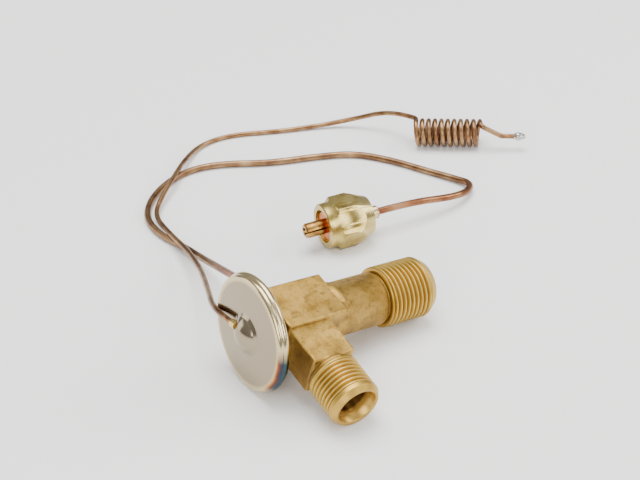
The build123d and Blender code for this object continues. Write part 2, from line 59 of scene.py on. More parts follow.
valveMatrix = axesMatrix(valveAxes["origin"], valveAxes["x"], valveAxes["y"], valveAxes["z"])
branchMatrix = axesMatrix(valveAxes["origin"], -valveAxes["y"], valveAxes["x"], -valveAxes["z"])
shankMatrix = axesMatrix(shankAxis["tip"], shankAxis["way"], upward.cross(shankAxis["way"]), upward)


def linearColour(code):
    parts = [int(code[i:i + 2], 16) / 255 for i in (1, 3, 5)]
    return [p / 12.92 if p <= 0.04045 else ((p + 0.055) / 1.055) ** 2.4 for p in parts] + [1]


def addNode(tree, kind, settings=None, links=None):
    node = tree.nodes.new(kind)
    for name, value in (settings or {}).items():
        if name == "stops":
            band = node.color_ramp
            while len(band.elements) < len(value):
                band.elements.new(0.5)
            for element, (place, colour) in zip(band.elements, value):
                element.position = place
                element.color = linearColour(colour)
        else:
            setattr(node, name, value)
    for name, value in (links or {}).items():
        if isinstance(value, bpy.types.NodeSocket):
            tree.links.new(value, node.inputs[name])
        else:
            node.inputs[name].default_value = value
    return node


def newMaterial(name, colour, metallic, roughness):
    material = bpy.data.materials.new(name)
    material.use_nodes = True
    tree = material.node_tree
    shader = tree.nodes["Principled BSDF"]
    shader.inputs["Base Color"].default_value = linearColour(colour)
    shader.inputs["Metallic"].default_value = metallic
    shader.inputs["Roughness"].default_value = roughness
    return material, tree, shader


def valvePlace(tree):  # where a point is in the valve's own axes
    turn = valveMatrix.inverted()
    return addNode(tree, "ShaderNodeMapping", {}, {
        "Vector": addNode(tree, "ShaderNodeTexCoord").outputs["Object"],
        "Location": turn.translation, "Rotation": turn.to_euler()}).outputs["Vector"]


def shankPlace(tree):  # how far a point lies along the flare nut's axis
    return addNode(tree, "ShaderNodeVectorMath", {"operation": "DOT_PRODUCT"}, {
        0: addNode(tree, "ShaderNodeTexCoord").outputs["Object"], 1: shankAxis["way"]}).outputs["Value"]


def cloudedColour(tree, size, detail, stops):  # a slow change of colour over a surface, size in mm
    cloud = addNode(tree, "ShaderNodeTexNoise", {}, {
        "Vector": addNode(tree, "ShaderNodeTexCoord").outputs["Object"],
        "Scale": 1 / (size * mm), "Detail": detail})
    return addNode(tree, "ShaderNodeValToRGB", {"stops": stops}, {"Fac": cloud.outputs["Fac"]}).outputs["Color"]


def paintedCreviceShade(tree, metal, reach, fromShade, toShade, most):  # painted shade: a surface is darkened towards dark brown where it is closed in
    creviceShade = addNode(tree, "ShaderNodeAmbientOcclusion", {"samples": 8}, {"Distance": reach * mm})
    share = addNode(tree, "ShaderNodeMapRange", {}, {
        "Value": creviceShade.outputs["AO"], "From Min": fromShade, "From Max": toShade,
        "To Min": most, "To Max": 0.0})
    return addNode(tree, "ShaderNodeMix", {"data_type": "RGBA"}, {
        "Factor": share.outputs["Result"], 6: metal, 7: linearColour("#4A3519")}).outputs[2]


# hot forged brass, shot blasted: matt tan gold with olive stains and dark specks of scale
forging = {
    "mottle": 6.0, "stain": 2.4, "speck": 1.3, "creviceShade": 1.4,  # sizes of the patterns, and the reach of the painted crevice shade
    "blast": 0.75, "grainDepth": 0.12,  # coarser than the shot's real dents, so that they show
    "metal": [(0.30, "#8C6A2E"), (0.44, "#AB8840"), (0.58, "#BF9B50"), (0.75, "#A27C38")],
    "stainColour": "#6A5029", "stainFrom": 0.52, "stainFull": 0.70, "stainMost": 0.78,
    "speckColour": "#5F4A28", "speckHeart": 0.10, "speckEdge": 0.24, "speckMost": 0.55,
    # colour and spread of the painted shade on the faces towards the disc
    "sideShadeColour": "#6B4A28", "sideShadeFrom": 0.55, "sideShadeFull": 0.95, "sideShadeMost": 0.55,
}
forgedBrass, tree, shader = newMaterial("forgedBrassBlasted", "#C4A261", 1.0, 0.5)
place = addNode(tree, "ShaderNodeTexCoord").outputs["Object"]
mottle = addNode(tree, "ShaderNodeTexNoise", {}, {
    "Vector": place, "Scale": 1 / (forging["mottle"] * mm), "Detail": 5.0, "Roughness": 0.6})
metal = addNode(tree, "ShaderNodeValToRGB", {"stops": forging["metal"]}, {"Fac": mottle.outputs["Fac"]})
stain = addNode(tree, "ShaderNodeTexNoise", {}, {
    "Vector": place, "Scale": 1 / (forging["stain"] * mm), "Detail": 6.0, "Roughness": 0.7})
stainShare = addNode(tree, "ShaderNodeMapRange", {}, {
    "Value": stain.outputs["Fac"], "From Min": forging["stainFrom"], "From Max": forging["stainFull"],
    "To Min": 0.0, "To Max": forging["stainMost"]})
stained = addNode(tree, "ShaderNodeMix", {"data_type": "RGBA"}, {
    "Factor": stainShare.outputs["Result"], 6: metal.outputs["Color"],
    7: linearColour(forging["stainColour"])})
speck = addNode(tree, "ShaderNodeTexVoronoi", {}, {"Vector": place, "Scale": 1 / (forging["speck"] * mm)})
speckShare = addNode(tree, "ShaderNodeMapRange", {}, {
    "Value": speck.outputs["Distance"], "From Min": forging["speckHeart"], "From Max": forging["speckEdge"],
    "To Min": forging["speckMost"], "To Max": 0.0})
speckled = addNode(tree, "ShaderNodeMix", {"data_type": "RGBA"}, {
    "Factor": speckShare.outputs["Result"], 6: stained.outputs[2], 7: linearColour(forging["speckColour"])})
# painted shade darkens the creases and hollows of the forging
creviceShaded = paintedCreviceShade(tree, speckled.outputs[2], forging["creviceShade"], 0.35, 0.85, 0.75)
# painted shade: the faces that look towards the disc are darkened to brown
facing = addNode(tree, "ShaderNodeVectorMath", {"operation": "DOT_PRODUCT"}, {
    0: addNode(tree, "ShaderNodeTexCoord").outputs["Normal"], 1: -valveAxes["x"]})
sideShadeShare = addNode(tree, "ShaderNodeMapRange", {}, {
    "Value": facing.outputs["Value"], "From Min": forging["sideShadeFrom"], "From Max": forging["sideShadeFull"],
    "To Min": 0.0, "To Max": forging["sideShadeMost"]})
sideShaded = addNode(tree, "ShaderNodeMix", {"data_type": "RGBA"}, {
    "Factor": sideShadeShare.outputs["Result"], 6: creviceShaded, 7: linearColour(forging["sideShadeColour"])})
tree.links.new(sideShaded.outputs[2], shader.inputs["Base Color"])
blast = addNode(tree, "ShaderNodeTexNoise", {}, {
    "Vector": place, "Scale": 1 / (forging["blast"] * mm), "Detail": 4.0, "Roughness": 0.65})
tree.links.new(addNode(tree, "ShaderNodeBump", {}, {
    "Height": blast.outputs["Fac"], "Strength": 0.5,
    "Distance": forging["grainDepth"] * mm}).outputs["Normal"], shader.inputs["Normal"])

# thread cut in the same brass: yellower, stained at random, with a painted highlight on the crests and painted
# shade in the roots
threadStainAndShade = {
    "stain": 2.5, "stainShare": 0.35, "stainMiddle": 0.17,
    "metal": [(0.0, "#9A7634"), (0.45, "#B89443"), (0.9, "#C09C48"), (1.0, "#CDB163")],  # root to crest
}
cutBrass, tree, shader = newMaterial("cutBrassThread", "#CDB259", 1.0, 0.42)
depth = addNode(tree, "ShaderNodeAttribute", {"attribute_name": "depth"})
stain = addNode(tree, "ShaderNodeTexNoise", {}, {
    "Vector": addNode(tree, "ShaderNodeTexCoord").outputs["Object"],
    "Scale": 1 / (threadStainAndShade["stain"] * mm), "Detail": 4.0})
stainAndShade = addNode(tree, "ShaderNodeMath", {"operation": "MULTIPLY_ADD"}, {
    0: stain.outputs["Fac"], 1: threadStainAndShade["stainShare"], 2: depth.outputs["Fac"]})
stainAndShade = addNode(tree, "ShaderNodeMath", {"operation": "SUBTRACT"}, {
    0: stainAndShade.outputs[0], 1: threadStainAndShade["stainMiddle"]})
metal = addNode(tree, "ShaderNodeValToRGB", {"stops": threadStainAndShade["metal"]}, {"Fac": stainAndShade.outputs[0]})
tree.links.new(metal.outputs["Color"], shader.inputs["Base Color"])

# bores and mouths turned in the same brass, darkened further in by painted shade
boreShade = {
    "branchDark": -32.4, "branchClean": -34.2, "outletDark": 40.0, "outletClean": 47.0,
    "metal": [(0.0, "#3A260E"), (0.4, "#7C5A26"), (0.8, "#B08A41"), (1.0, "#BC984C")],
}
boredBrass, tree, shader = newMaterial("boredBrass", "#BC9B50", 1.0, 0.36)
place = addNode(tree, "ShaderNodeSeparateXYZ", {}, {"Vector": valvePlace(tree)})
branchMouth = addNode(tree, "ShaderNodeMapRange", {}, {
    "Value": place.outputs["Y"], "From Min": boreShade["branchDark"] * mm,
    "From Max": boreShade["branchClean"] * mm})
outletMouth = addNode(tree, "ShaderNodeMapRange", {}, {
    "Value": place.outputs["X"], "From Min": boreShade["outletDark"] * mm,
    "From Max": boreShade["outletClean"] * mm})
mouth = addNode(tree, "ShaderNodeMath", {"operation": "MAXIMUM"}, {
    0: branchMouth.outputs["Result"], 1: outletMouth.outputs["Result"]})
metal = addNode(tree, "ShaderNodeValToRGB", {"stops": boreShade["metal"]}, {"Fac": mouth.outputs[0]})
tree.links.new(metal.outputs["Color"], shader.inputs["Base Color"])

# polished stainless sheet: warm grey, straw coloured at the shoulder, with the
# blue and brown heat colours of the weld along one side of the rim
sheet = {
    "steel": "#9E9078", "straw": "#D2BE92", "shoulder": 15.9, "rim": 17.95,
    "cloud": 5.0, "wander": 1.2, "hotSide": math.radians(186), "sideFrom": 0.84, "sideFull": 0.95,
    "heat": [(0.0, "#C8AE7C"), (0.3, "#C08A45"), (0.5, "#8A4A22"), (0.68, "#4E3A44"),
             (0.85, "#2E4650"), (1.0, "#3F4A48")],
}
stainless, tree, shader = newMaterial("polishedStainless", sheet["steel"], 1.0, 0.17)
place = addNode(tree, "ShaderNodeSeparateXYZ", {}, {"Vector": valvePlace(tree)})
across = addNode(tree, "ShaderNodeMath", {"operation": "MULTIPLY"}, {
    0: place.outputs["Y"], 1: place.outputs["Y"]})
across = addNode(tree, "ShaderNodeMath", {"operation": "MULTIPLY_ADD"}, {
    0: place.outputs["Z"], 1: place.outputs["Z"], 2: across.outputs[0]})
radius = addNode(tree, "ShaderNodeMath", {"operation": "SQRT"}, {0: across.outputs[0]})
cloud = addNode(tree, "ShaderNodeTexNoise", {}, {
    "Vector": addNode(tree, "ShaderNodeTexCoord").outputs["Object"],
    "Scale": 1 / (sheet["cloud"] * mm), "Detail": 3.0})
wander = addNode(tree, "ShaderNodeMath", {"operation": "MULTIPLY_ADD"}, {
    0: cloud.outputs["Fac"], 1: sheet["wander"] * mm, 2: radius.outputs[0]})
outward = addNode(tree, "ShaderNodeMapRange", {}, {
    "Value": wander.outputs[0], "From Min": (sheet["shoulder"] + 0.4) * mm,
    "From Max": (sheet["rim"] + 0.6) * mm})
heat = addNode(tree, "ShaderNodeValToRGB", {"stops": sheet["heat"]}, {"Fac": outward.outputs["Result"]})
side = addNode(tree, "ShaderNodeMath", {"operation": "MULTIPLY"}, {
    0: place.outputs["Y"], 1: math.cos(sheet["hotSide"])})
side = addNode(tree, "ShaderNodeMath", {"operation": "MULTIPLY_ADD"}, {
    0: place.outputs["Z"], 1: math.sin(sheet["hotSide"]), 2: side.outputs[0]})
side = addNode(tree, "ShaderNodeMath", {"operation": "DIVIDE"}, {0: side.outputs[0], 1: radius.outputs[0]})
sideShare = addNode(tree, "ShaderNodeMapRange", {}, {
    "Value": side.outputs[0], "From Min": sheet["sideFrom"], "From Max": sheet["sideFull"]})
onBand = addNode(tree, "ShaderNodeMapRange", {}, {
    "Value": radius.outputs[0], "From Min": (sheet["shoulder"] - 0.6) * mm,
    "From Max": (sheet["shoulder"] + 0.3) * mm})
straw = addNode(tree, "ShaderNodeMix", {"data_type": "RGBA"}, {
    "Factor": onBand.outputs["Result"], 6: linearColour(sheet["steel"]), 7: linearColour(sheet["straw"])})
hot = addNode(tree, "ShaderNodeMath", {"operation": "MULTIPLY"}, {
    0: onBand.outputs["Result"], 1: sideShare.outputs["Result"]})
tinted = addNode(tree, "ShaderNodeMix", {"data_type": "RGBA"}, {
    "Factor": hot.outputs[0], 6: straw.outputs[2], 7: heat.outputs["Color"]})
tree.links.new(tinted.outputs[2], shader.inputs["Base Color"])

# plain stainless inside the valve
innerSteel, tree, shader = newMaterial("groundStainless", "#B4B2AE", 1.0, 0.25)

# drawn copper capillary, brown with handling
drawn = {
    "cloud": 6.0,
    "metal": [(0.32, "#6E4C34"), (0.48, "#8C6746"), (0.62, "#A88660"), (0.75, "#84583E")],
}
capillaryCopper, tree, shader = newMaterial("drawnCopperCapillary", "#B98A5A", 1.0, 0.32)
tree.links.new(cloudedColour(tree, drawn["cloud"], 4.0, drawn["metal"]), shader.inputs["Base Color"])

# annealed copper tube: red orange where the block was brazed, brown with oxide further on
annealed = {
    "cloud": 7.0, "redUntil": 30.0, "brownFrom": 62.0,
    "red": [(0.35, "#93482C"), (0.5, "#B0643F"), (0.68, "#C4865E")],
    "brown": [(0.35, "#6C4E38"), (0.5, "#8A694A"), (0.68, "#A68663")],
}
annealedCopper, tree, shader = newMaterial("annealedCopperTube", "#9A5E42", 1.0, 0.34)
place = addNode(tree, "ShaderNodeSeparateXYZ", {}, {
    "Vector": addNode(tree, "ShaderNodeTexCoord").outputs["Object"]})
away = addNode(tree, "ShaderNodeMapRange", {}, {
    "Value": place.outputs["Y"], "From Min": annealed["redUntil"] * mm,
    "From Max": annealed["brownFrom"] * mm})
blend = addNode(tree, "ShaderNodeMix", {"data_type": "RGBA"}, {
    "Factor": away.outputs["Result"], 6: cloudedColour(tree, annealed["cloud"], 4.0, annealed["red"]),
    7: cloudedColour(tree, annealed["cloud"], 4.0, annealed["brown"])})
tree.links.new(blend.outputs[2], shader.inputs["Base Color"])

# bar brass turned to a nut, with a yellow green patina, and a painted highlight paling its turned rear
patina = {
    "cloud": 4.0, "creviceShade": 0.9, "rearHighlightColour": "#E2D6A8", "rearHighlightMost": 0.2,
    "metal": [(0.3, "#9C8544"), (0.45, "#BBA35C"), (0.6, "#D2BC76"), (0.75, "#B89F58")],
}
turnedBrass, tree, shader = newMaterial("turnedBrassNut", "#C9B77C", 1.0, 0.26)
metal = cloudedColour(tree, patina["cloud"], 5.0, patina["metal"])
# painted shade darkens the nut's creases and hollows
creviceShaded = paintedCreviceShade(tree, metal, patina["creviceShade"], 0.3, 0.8, 0.7)
# painted highlight: faces turned towards the rear are paled
backward = addNode(tree, "ShaderNodeVectorMath", {"operation": "DOT_PRODUCT"}, {
    0: addNode(tree, "ShaderNodeTexCoord").outputs["Normal"], 1: shankAxis["way"]})
rearHighlightShare = addNode(tree, "ShaderNodeMapRange", {}, {
    "Value": backward.outputs["Value"], "From Min": 0.15, "From Max": 0.3,
    "To Min": 0.0, "To Max": patina["rearHighlightMost"]})
highlighted = addNode(tree, "ShaderNodeMix", {"data_type": "RGBA"}, {
    "Factor": rearHighlightShare.outputs["Result"], 6: creviceShaded, 7: linearColour(patina["rearHighlightColour"])})
tree.links.new(highlighted.outputs[2], shader.inputs["Base Color"])

# copper strip rolled to a stub, golden at the tip and orange where the nut closes it in
rolled = {
    "cloud": 2.2, "cleanTo": 5.4, "oiledFrom": 6.8, "oiledColour": "#BE6418", "oiledMost": 0.95,
    "metal": [(0.35, "#8E6430"), (0.52, "#AF8444"), (0.68, "#C79F5A")],
}
stubCopper, tree, shader = newMaterial("rolledCopperStub", "#B9794A", 1.0, 0.3)
insideShare = addNode(tree, "ShaderNodeMapRange", {}, {
    "Value": shankPlace(tree), "From Min": tipAlong + rolled["cleanTo"] * mm,
    "From Max": tipAlong + rolled["oiledFrom"] * mm, "To Min": 0.0, "To Max": rolled["oiledMost"]})
oiled = addNode(tree, "ShaderNodeMix", {"data_type": "RGBA"}, {
    "Factor": insideShare.outputs["Result"], 6: cloudedColour(tree, rolled["cloud"], 4.0, rolled["metal"]),
    7: linearColour(rolled["oiledColour"])})
tree.links.new(oiled.outputs[2], shader.inputs["Base Color"])

# silver solder, set bright and a little lumpy
solder = {"lump": 1.0, "lumpHeight": 0.05}
silverSolder, tree, shader = newMaterial("silverSolder", "#BDB7B0", 1.0, 0.24)
lumps = addNode(tree, "ShaderNodeTexNoise", {}, {
    "Vector": addNode(tree, "ShaderNodeTexCoord").outputs["Object"],
    "Scale": 1 / (solder["lump"] * mm), "Detail": 3.0})
tree.links.new(addNode(tree, "ShaderNodeBump", {}, {
    "Height": lumps.outputs["Fac"], "Strength": 0.4,
    "Distance": solder["lumpHeight"] * mm}).outputs["Normal"], shader.inputs["Normal"])

# brazed shank: aged at its flange, gold at the nut, then the torch's yellow green and pink
braze = {
    "flangeTo": 9.0, "goldFrom": 12.0, "torchFrom": 23.0, "torchTo": 27.4, "flangeColour": "#8F5426",
    "torch": [(0.1, "#D2B26A"), (0.35, "#C4C66E"), (0.6, "#D6C89A"), (0.85, "#C9877A"), (1.0, "#B07A5A")],
}
brazeAlloy, tree, shader = newMaterial("brazedShank", "#DDBD75", 1.0, 0.28)
torchShare = addNode(tree, "ShaderNodeMapRange", {}, {
    "Value": shankPlace(tree), "From Min": tipAlong + braze["torchFrom"] * mm,
    "From Max": tipAlong + braze["torchTo"] * mm})
metal = addNode(tree, "ShaderNodeValToRGB", {"stops": braze["torch"]}, {"Fac": torchShare.outputs["Result"]})
goldShare = addNode(tree, "ShaderNodeMapRange", {}, {
    "Value": shankPlace(tree), "From Min": tipAlong + braze["flangeTo"] * mm,
    "From Max": tipAlong + braze["goldFrom"] * mm})
aged = addNode(tree, "ShaderNodeMix", {"data_type": "RGBA"}, {
    "Factor": goldShare.outputs["Result"], 6: linearColour(braze["flangeColour"]),
    7: metal.outputs["Color"]})
tree.links.new(aged.outputs[2], shader.inputs["Base Color"])

# braze ring at the dome, gold; hard drawn spring wire; black seal rubber
ringBraze, tree, shader = newMaterial("brazeRing", "#DDBD75", 1.0, 0.26)
springSteel, tree, shader = newMaterial("drawnSpringSteel", "#8B8B8D", 1.0, 0.35)
sealRubber, tree, shader = newMaterial("nitrileRubber", "#1A1A1A", 0.0, 0.6)

finishes = {
    "valve_body": forgedBrass, "upper_cover": stainless, "lower_cover": stainless,
    "rim_weld": stainless, "diaphragm": innerSteel, "capillary_collar": ringBraze,
    "sensing_coil": capillaryCopper, "coil_tip": silverSolder, "equaliser_socket": turnedBrass,
    "flare_nut": turnedBrass, "tail_piece": brazeAlloy, "core_depressor": stubCopper,
    "capillary_tube": capillaryCopper, "equaliser_tube": annealedCopper,
    "adjuster": turnedBrass, "ball_carrier": turnedBrass, "orifice_seat": turnedBrass,
    "seal_retainer": turnedBrass, "ball": innerSteel, "thrust_pad": innerSteel,
    "push_rod": innerSteel, "inlet_strainer": innerSteel, "spring": springSteel,
    "rod_seal": sealRubber,
}
for name, node in nodes.items():
    node.data.materials.clear()
    node.data.materials.append(finishes[name])
print("finishes made")


def placed(name, data):
    made = bpy.data.objects.new(name, data)
    bpy.context.scene.collection.objects.link(made)
    return made


def evaluatedMesh(made):
    return bpy.data.meshes.new_from_object(made.evaluated_get(bpy.context.evaluated_depsgraph_get()))


def oneFinish(mesh, material):
    mesh.materials.clear()
    mesh.materials.append(material)
    mesh.polygons.foreach_set("material_index", [0] * len(mesh.polygons))


def faceOutward(mesh):
    work = bmesh.new()
    work.from_mesh(mesh)
    bmesh.ops.remove_doubles(work, verts=work.verts, dist=0.001 * mm)
    bmesh.ops.recalc_face_normals(work, faces=work.faces)
    work.to_mesh(mesh)
    work.free()


# threads, cut by a rule in Geometry Nodes: a grid is rolled to a tube, turn
# going round and run going along it, and its radius follows the cut
threadForm = {"flat": 0.18, "plainBandShade": -0.3, "around": 96, "along": 220}  # flat of crest and root; the plain band's share lowers the painted crest highlight on the plain lead and band
threadInputs = {
    "Geometry": "Geometry", "Crest Radius": "Float", "Root Radius": "Float", "Wall Radius": "Float",
    "Pitch": "Float", "Length": "Float", "Lead": "Float", "Chamfer": "Float", "Band Start": "Float",
    "Nose Start": "Float", "Nose Radius": "Float", "Around": "Int", "Along": "Int",
    "Material": "Material",
}
# each line is a value's name, its sum and its terms: an input, an earlier line or a number
threadSums = [
    ("columns", "ADD", "Around", 1),
    ("turn", "ADD", "gridX", 0.5),
    ("rows", "SUBTRACT", "Along", 1),
    ("rowShare", "ADD", "gridY", 0.5),
    ("rowPlace", "MULTIPLY", "rowShare", "rows"),
    ("row", "ROUND", "rowPlace"),
    # the first and the last two rows close the ring along its inner wall
    ("first", "COMPARE", "row", 0.0, 0.5),
    ("last", "COMPARE", "row", "rows", 0.5),
    ("rowsLessOne", "SUBTRACT", "rows", 1),
    ("beforeLast", "COMPARE", "row", "rowsLessOne", 0.5),
    ("firstOrLast", "ADD", "first", "last"),
    ("wallRows", "ADD", "firstOrLast", "beforeLast"),
    ("onWall", "MINIMUM", "wallRows", 1.0),
    ("offWall", "SUBTRACT", 1.0, "onWall"),
    ("fromFirst", "SUBTRACT", "row", 1),
    ("cutRows", "SUBTRACT", "rows", 3),
    ("share", "DIVIDE", "fromFirst", "cutRows"),
    ("shareFloor", "MAXIMUM", "share", 0.0),
    ("shareHeld", "MINIMUM", "shareFloor", 1.0),
    ("notLast", "SUBTRACT", 1.0, "last"),
    ("shareClosed", "MULTIPLY", "shareHeld", "notLast"),
    ("run", "MULTIPLY", "shareClosed", "Length"),
    # a flat crest and a flat root, with straight flanks between
    ("pitches", "DIVIDE", "run", "Pitch"),
    ("wound", "SUBTRACT", "pitches", "turn"),
    ("woundUp", "ADD", "wound", 1.0),
    ("phase", "FRACT", "woundUp"),
    ("fromCrest", "SUBTRACT", "phase", 0.5),
    ("halfWay", "ABSOLUTE", "fromCrest"),
    ("away", "MULTIPLY", "halfWay", 2.0),
    ("rise", "SUBTRACT", 1 - threadForm["flat"], "away"),
    ("slope", "DIVIDE", "rise", 1 - 2 * threadForm["flat"]),
    ("slopeFloor", "MAXIMUM", "slope", 0.0),
    ("flank", "MINIMUM", "slopeFloor", 1.0),
    # the plain lead and the plain band at the nose
    ("pastBand", "GREATER_THAN", "run", "Band Start"),
    ("beforeLead", "LESS_THAN", "run", "Lead"),
    ("plain", "ADD", "pastBand", "beforeLead"),
    ("height", "MAXIMUM", "flank", "plain"),
    # the value kept as the depth, which paints the crests lighter and the roots darker as highlight and shade
    ("worn", "MULTIPLY_ADD", "plain", threadForm["plainBandShade"], "height"),
    ("depth", "SUBTRACT", "Crest Radius", "Root Radius"),
    ("cut", "MULTIPLY_ADD", "depth", "height", "Root Radius"),
    # chamfered start, tapered nose
    ("startRadius", "SUBTRACT", "Crest Radius", "Chamfer"),
    ("start", "ADD", "startRadius", "run"),
    ("fromNose", "SUBTRACT", "run", "Nose Start"),
    ("past", "MAXIMUM", "fromNose", 0.0),
    ("noseDrop", "SUBTRACT", "Crest Radius", "Nose Radius"),
    ("noseRun", "SUBTRACT", "Length", "Nose Start"),
    ("noseSlope", "DIVIDE", "noseDrop", "noseRun"),
    ("noseFall", "MULTIPLY", "past", "noseSlope"),
    ("nose", "SUBTRACT", "Crest Radius", "noseFall"),
    ("underNose", "MINIMUM", "cut", "nose"),
    ("outer", "MINIMUM", "underNose", "start"),
    ("outerPart", "MULTIPLY", "outer", "offWall"),
    ("wallPart", "MULTIPLY", "Wall Radius", "onWall"),
    ("radius", "ADD", "outerPart", "wallPart"),
    ("angle", "MULTIPLY", "turn", 2 * math.pi),
    ("cosine", "COSINE", "angle"),
    ("sine", "SINE", "angle"),
    ("ringY", "MULTIPLY", "radius", "cosine"),
    ("ringZ", "MULTIPLY", "radius", "sine"),
]


def threadTree():
    tree = bpy.data.node_groups.new("cutThread", "GeometryNodeTree")
    for name, kind in threadInputs.items():
        tree.interface.new_socket(name, in_out="INPUT", socket_type="NodeSocket" + kind)
    tree.interface.new_socket("Geometry", in_out="OUTPUT", socket_type="NodeSocketGeometry")
    given = addNode(tree, "NodeGroupInput").outputs
    values = {name: given[name] for name in threadInputs}
    gridPlace = addNode(tree, "ShaderNodeSeparateXYZ", {}, {
        "Vector": addNode(tree, "GeometryNodeInputPosition").outputs[0]}).outputs
    values["gridX"], values["gridY"] = gridPlace["X"], gridPlace["Y"]
    for name, operation, *terms in threadSums:
        values[name] = addNode(tree, "ShaderNodeMath", {"operation": operation}, {
            i: values[term] if isinstance(term, str) else term for i, term in enumerate(terms)}).outputs[0]
    grid = addNode(tree, "GeometryNodeMeshGrid", {}, {
        "Size X": 1.0, "Size Y": 1.0, "Vertices X": values["columns"], "Vertices Y": values["Along"]})
    moved = addNode(tree, "ShaderNodeCombineXYZ", {}, {
        "X": values["run"], "Y": values["ringY"], "Z": values["ringZ"]})
    marked = addNode(tree, "GeometryNodeStoreNamedAttribute", {"data_type": "FLOAT", "domain": "POINT"}, {
        "Geometry": grid.outputs["Mesh"], "Name": "depth", "Value": values["worn"]})
    shape = addNode(tree, "GeometryNodeSetPosition", {}, {
        "Geometry": marked.outputs[0], "Position": moved.outputs[0]})
    joined = addNode(tree, "GeometryNodeMergeByDistance", {}, {
        "Geometry": shape.outputs[0], "Distance": 0.002 * mm})
    whole = addNode(tree, "GeometryNodeRealizeInstances", {}, {"Geometry": joined.outputs[0]})
    dressed = addNode(tree, "GeometryNodeSetMaterial", {}, {
        "Geometry": whole.outputs[0], "Material": given["Material"]})
    addNode(tree, "NodeGroupOutput", {}, {"Geometry": dressed.outputs[0]})
    return tree


def treeMesh(name, tree, inputs):
    carrier = placed(name + "Carrier", bpy.data.meshes.new(name + "Carrier"))
    modifier = carrier.modifiers.new("build", "NODES")
    modifier.node_group = tree
    identifiers = {s.name: s.identifier for s in tree.interface.items_tree if s.in_out == "INPUT"}
    for key, value in inputs.items():
        modifier[identifiers[key]] = value
    mesh = evaluatedMesh(carrier)
    mesh.name = name
    oneFinish(mesh, inputs["Material"])
    bpy.data.objects.remove(carrier)
    return placed(name, mesh)


cutThread = threadTree()
outletThread = {
    "start": 30.58, "end": 48.11, "crest": 9.525, "root": 8.6, "wall": 7.35, "lead": 0.4,
    "chamfer": 0.4, "pitch": 25.4 / 16, "band": 45.25, "nose": 45.6, "noseRadius": 7.92,
}
inletThread = {
    "start": 22.58, "end": 36.11, "crest": 7.9375, "root": 7.2, "wall": 6.6, "lead": 1.05,
    "chamfer": 0.65, "pitch": 25.4 / 18, "band": 33.2, "nose": 34.6, "noseRadius": 6.92,
}
for name, size, matrix in [
    ("outletThread", outletThread, valveMatrix),
    ("inletThread", inletThread, branchMatrix),
]:
    made = treeMesh(name, cutThread, {
        "Crest Radius": size["crest"] * mm, "Root Radius": size["root"] * mm,
        "Wall Radius": size["wall"] * mm, "Pitch": size["pitch"] * mm,
        "Length": (size["end"] - size["start"]) * mm, "Lead": size["lead"] * mm,
        "Chamfer": size["chamfer"] * mm, "Band Start": (size["band"] - size["start"]) * mm,
        "Nose Start": (size["nose"] - size["start"]) * mm, "Nose Radius": size["noseRadius"] * mm,
        "Around": threadForm["around"], "Along": threadForm["along"], "Material": cutBrass})
    made.data.transform(matrix @ Matrix.Translation((size["start"] * mm, 0, 0)))
    faceOutward(made.data)
    made.data.shade_smooth()
    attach(made, "valve")

# the body's own walls step back under the cut threads, and its bores are turned
bores = {
    "outletFrom": 12.0, "outletRadius": 6.95, "branchFrom": 6.0, "branchRadius": 4.6,
    "recessFrom": 32.5, "recessRadius": 6.75, "stepBack": 0.4, "stepShort": 0.3,
}
body = placed("forgedBody", nodes["valve_body"].data.copy())
faceOutward(body.data)
body.data.materials.append(boredBrass)
inverse = valveMatrix.inverted()
for vertex in body.data.vertices:
    place = inverse @ vertex.co
    for size, onAxis, away in [
        (outletThread, place.x, Vector((0, place.y, place.z))),
        (inletThread, -place.y, Vector((place.x, 0, place.z))),
    ]:
        limit = (size["root"] - bores["stepBack"]) * mm
        inThread = size["start"] * mm < onAxis < (size["end"] - bores["stepShort"]) * mm
        if inThread and away.length > limit:
            place = place - away * (1 - limit / away.length)
            vertex.co = valveMatrix @ place
for face in body.data.polygons:
    place = inverse @ face.center
    fromBranch, fromOutlet = math.hypot(place.x, place.z) / mm, math.hypot(place.y, place.z) / mm
    if ((-place.y > bores["branchFrom"] * mm and fromBranch < bores["branchRadius"])
            or (-place.y > bores["recessFrom"] * mm and fromBranch < bores["recessRadius"])
            or (place.x > bores["outletFrom"] * mm and fromOutlet < bores["outletRadius"])):
        face.material_index = 1
body.data.shade_smooth()
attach(body, "valve")
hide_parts("valve_body")
print("threads cut")

# the nut's long rear taper, which takes the hexagon's corners off
rearTaper = {
    "before": -2.0, "from": 16.0, "to": 23.4, "cornerRadius": 9.4, "endRadius": 6.43,
    "sides": 96, "sharpAngle": math.radians(25),
}
sides = rearTaper["sides"]
work = bmesh.new()
rings = []
for along, radius in [
    (rearTaper["before"], rearTaper["cornerRadius"]),
    (rearTaper["from"], rearTaper["cornerRadius"]),
    (rearTaper["to"], rearTaper["endRadius"]),
]:
    turns = [2 * math.pi * i / sides for i in range(sides)]
    rings.append([work.verts.new((along * mm, radius * mm * math.cos(t), radius * mm * math.sin(t)))
                  for t in turns])
for near, far in zip(rings, rings[1:]):
    for i in range(sides):
        j = (i + 1) % sides
        work.faces.new((near[i], near[j], far[j], far[i]))
work.faces.new(rings[0][::-1])
work.faces.new(rings[-1])
bmesh.ops.recalc_face_normals(work, faces=work.faces)
taper = placed("taperTool", bpy.data.meshes.new("taperTool"))
work.to_mesh(taper.data)
work.free()
taper.data.transform(shankMatrix)
nut = placed("taperedNut", nodes["flare_nut"].data.copy())
faceOutward(nut.data)
turning = nut.modifiers.new("turning", "BOOLEAN")
turning.operation = "INTERSECT"
turning.object = taper
nut.data = evaluatedMesh(nut)
nut.modifiers.clear()
bpy.data.objects.remove(taper)
oneFinish(nut.data, turnedBrass)
nut.data.set_sharp_from_angle(angle=rearTaper["sharpAngle"])
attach(nut, "flare_nut")
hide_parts("flare_nut")

